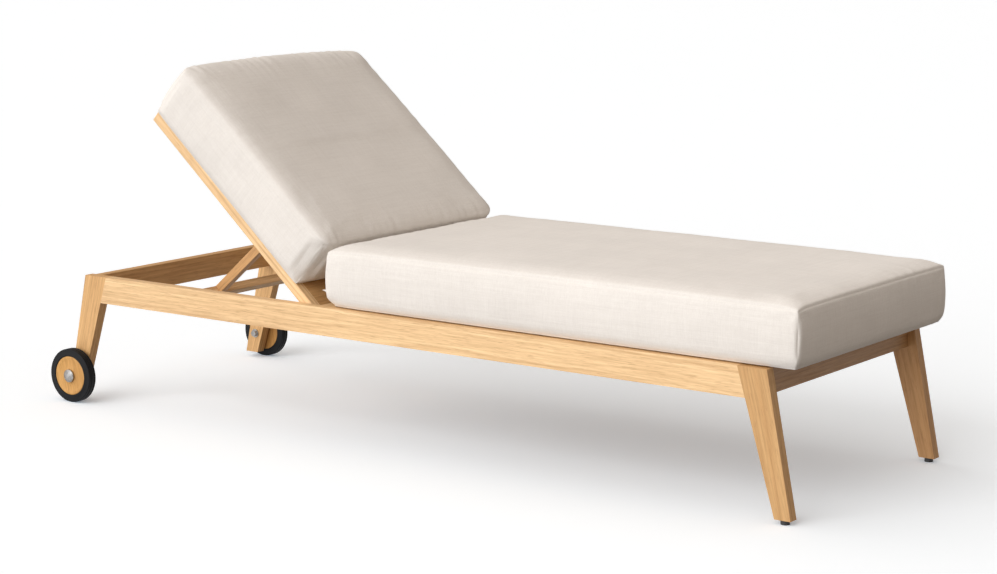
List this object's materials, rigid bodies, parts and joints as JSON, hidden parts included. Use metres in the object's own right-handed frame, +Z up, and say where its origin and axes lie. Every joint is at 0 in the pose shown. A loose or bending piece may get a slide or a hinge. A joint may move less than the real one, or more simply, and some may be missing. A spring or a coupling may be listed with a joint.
{
  "type": "reclining sun lounger",
  "caption": "Teak sun lounger with splayed legs, rear wheels, a hinged backrest on a notched prop frame and thick box cushions.",
  "frame": {"origin": "on the ground, below the middle of the whole lounger's box", "axes": "+X from the head end (wheels) to the foot end, +Y to the lounger's left side, +Z up"},
  "size_m": [2.0976, 0.7824, 0.8484],
  "materials": {
    "teak": "fine sanded, oiled, satin",
    "wheel_teak": "turned disc, satin",
    "joint_teak": "raw, glued",
    "cushion_fabric": "plain woven outdoor fabric over foam, matt",
    "tyre_rubber": "matt",
    "stainless_steel": "brushed",
    "glide_plastic": "matt",
    "bush_plastic": "matt"
  },
  "bodies": {
    "frame": {"side_rail_right": "teak", "side_rail_left": "teak", "rear_leg_right": "teak", "rear_leg_left": "teak", "front_leg_right": "teak", "front_leg_left": "teak", "rear_cross_rail": "teak", "mid_cross_rail": "teak", "front_apron": "teak", "rail_tenons": "joint_teak", "cross_dowels": "joint_teak", "slat_cleat_right": "teak", "slat_cleat_left": "teak", "seat_slat_1": "teak", "seat_slat_2": "teak", "seat_slat_3": "teak", "seat_slat_4": "teak", "seat_slat_5": "teak", "seat_slat_6": "teak", "seat_slat_7": "teak", "seat_slat_8": "teak", "seat_slat_9": "teak", "seat_slat_10": "teak", "slat_screws": "stainless_steel", "prop_rack_right": "teak", "prop_rack_left": "teak", "rack_screws": "stainless_steel", "front_glides": "glide_plastic", "hinge_bush_right": "bush_plastic", "hinge_bush_left": "bush_plastic", "axle_bolt_right": "stainless_steel", "axle_bolt_left": "stainless_steel", "axle_washers": "stainless_steel", "hub_cap_right": "stainless_steel", "hub_cap_left": "stainless_steel", "seat_cushion": "cushion_fabric"},
    "backrest": {"back_stile_right": "teak", "back_stile_left": "teak", "back_bottom_rail": "teak", "back_top_rail": "teak", "back_slat_1": "teak", "back_slat_2": "teak", "back_slat_3": "teak", "back_slat_4": "teak", "prop_batten": "teak", "prop_block_right": "teak", "prop_block_left": "teak", "prop_pins": "stainless_steel", "hinge_pin_right": "stainless_steel", "hinge_pin_left": "stainless_steel", "back_cushion": "cushion_fabric"},
    "prop_frame": {"prop_strut_right": "teak", "prop_strut_left": "teak", "prop_bar": "teak"},
    "wheel_right": {"wheel_disc_right": "wheel_teak", "tyre_right": "tyre_rubber", "wheel_bush_right": "bush_plastic"},
    "wheel_left": {"wheel_disc_left": "wheel_teak", "tyre_left": "tyre_rubber", "wheel_bush_left": "bush_plastic"}
  },
  "joints": [
    {"name": "recline", "type": "hinge", "parent": "frame", "child": "backrest", "pos_m": [-0.25224, 0, 0.31], "axis": [0, 1, 0], "range_deg": [-41.25, 0]},
    {"name": "prop_fold", "type": "hinge", "parent": "backrest", "child": "prop_frame", "pos_m": [-0.46646, 0, 0.46461], "axis": [0, 1, 0], "range_deg": [0, 82.5]},
    {"name": "wheel_right_spin", "type": "hinge", "parent": "frame", "child": "wheel_right", "pos_m": [-0.98126, -0.37, 0.0675], "axis": [0, 1, 0], "continuous": true},
    {"name": "wheel_left_spin", "type": "hinge", "parent": "frame", "child": "wheel_left", "pos_m": [-0.98126, 0.37, 0.0675], "axis": [0, 1, 0], "continuous": true}
  ],
  "couplings": [
    {"joint": "prop_fold", "follows": "recline", "ratio": -2}
  ]
}
